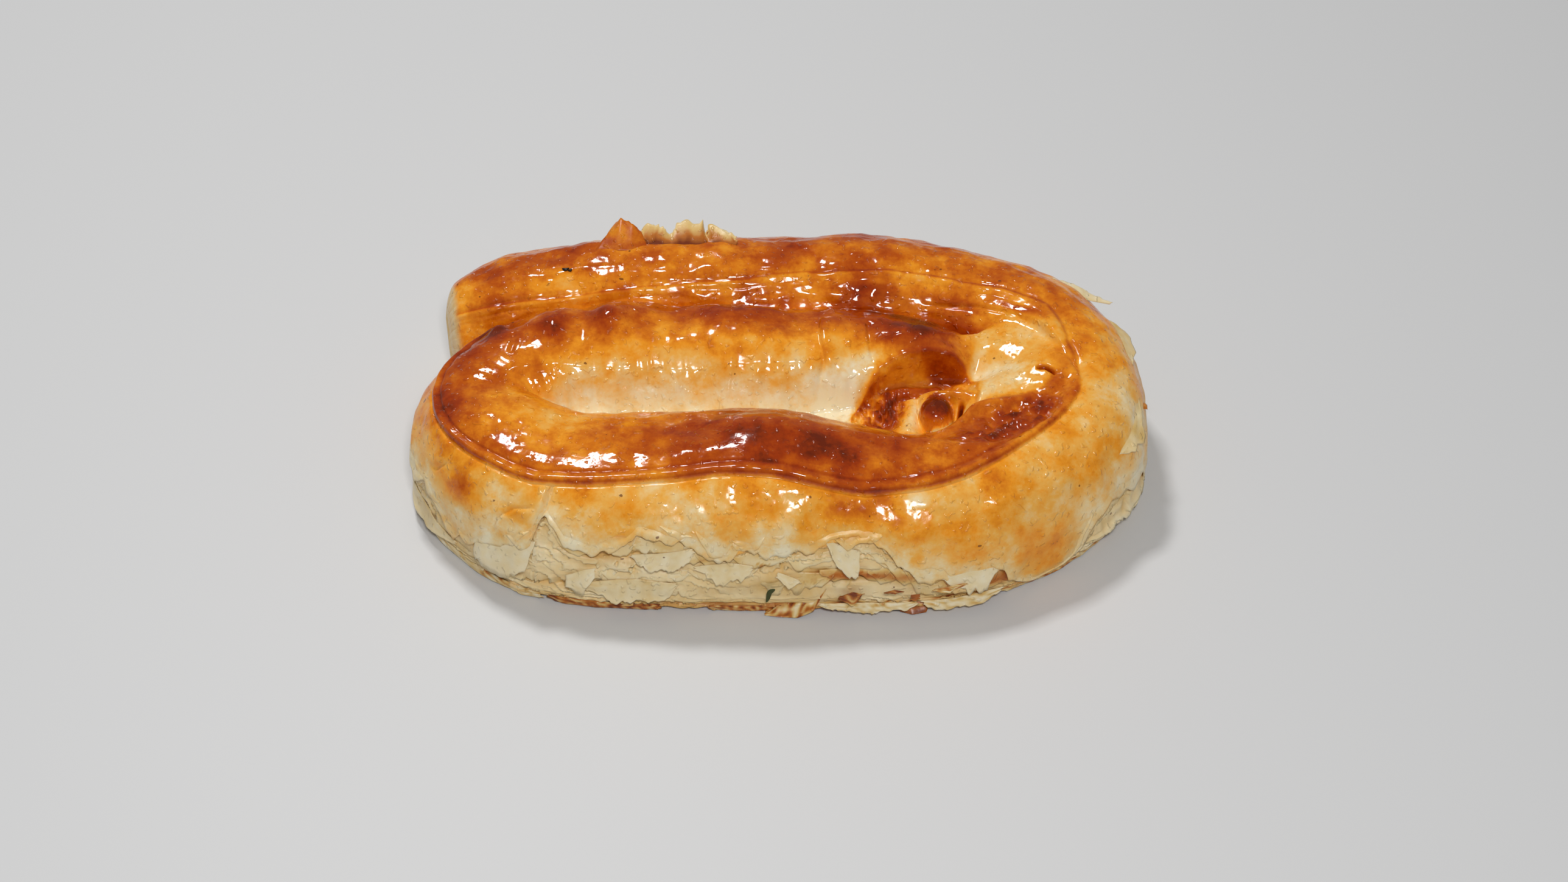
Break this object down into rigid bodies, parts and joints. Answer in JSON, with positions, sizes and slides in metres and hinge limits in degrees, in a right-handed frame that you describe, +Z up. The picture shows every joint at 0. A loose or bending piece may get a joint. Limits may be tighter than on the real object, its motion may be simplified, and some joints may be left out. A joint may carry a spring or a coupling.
{
  "type": "coiled puff pastry roll",
  "caption": "Oval coil of one filled puff pastry roll, glazed and browned on top with a rolled overlap rim, pale torn flaky sides and a small open fold near the middle.",
  "frame": {"origin": "centre of the bounding box in plan, on the flat underside", "axes": "+X along the coil's long side, with the roll's cut end at -X and +Y; +Y from the front, where the filling shows, to the back; +Z up"},
  "size_m": [0.1886, 0.1148, 0.0408],
  "materials": {
    "baked_dough": "egg-washed crust, glossy golden brown on top and matt cream on the torn sides",
    "soft_filling": "moist, creamy, slightly rough"
  },
  "bodies": {
    "root": {"coiled_pastry": "baked_dough", "filling": "soft_filling"}
  },
  "joints": []
}
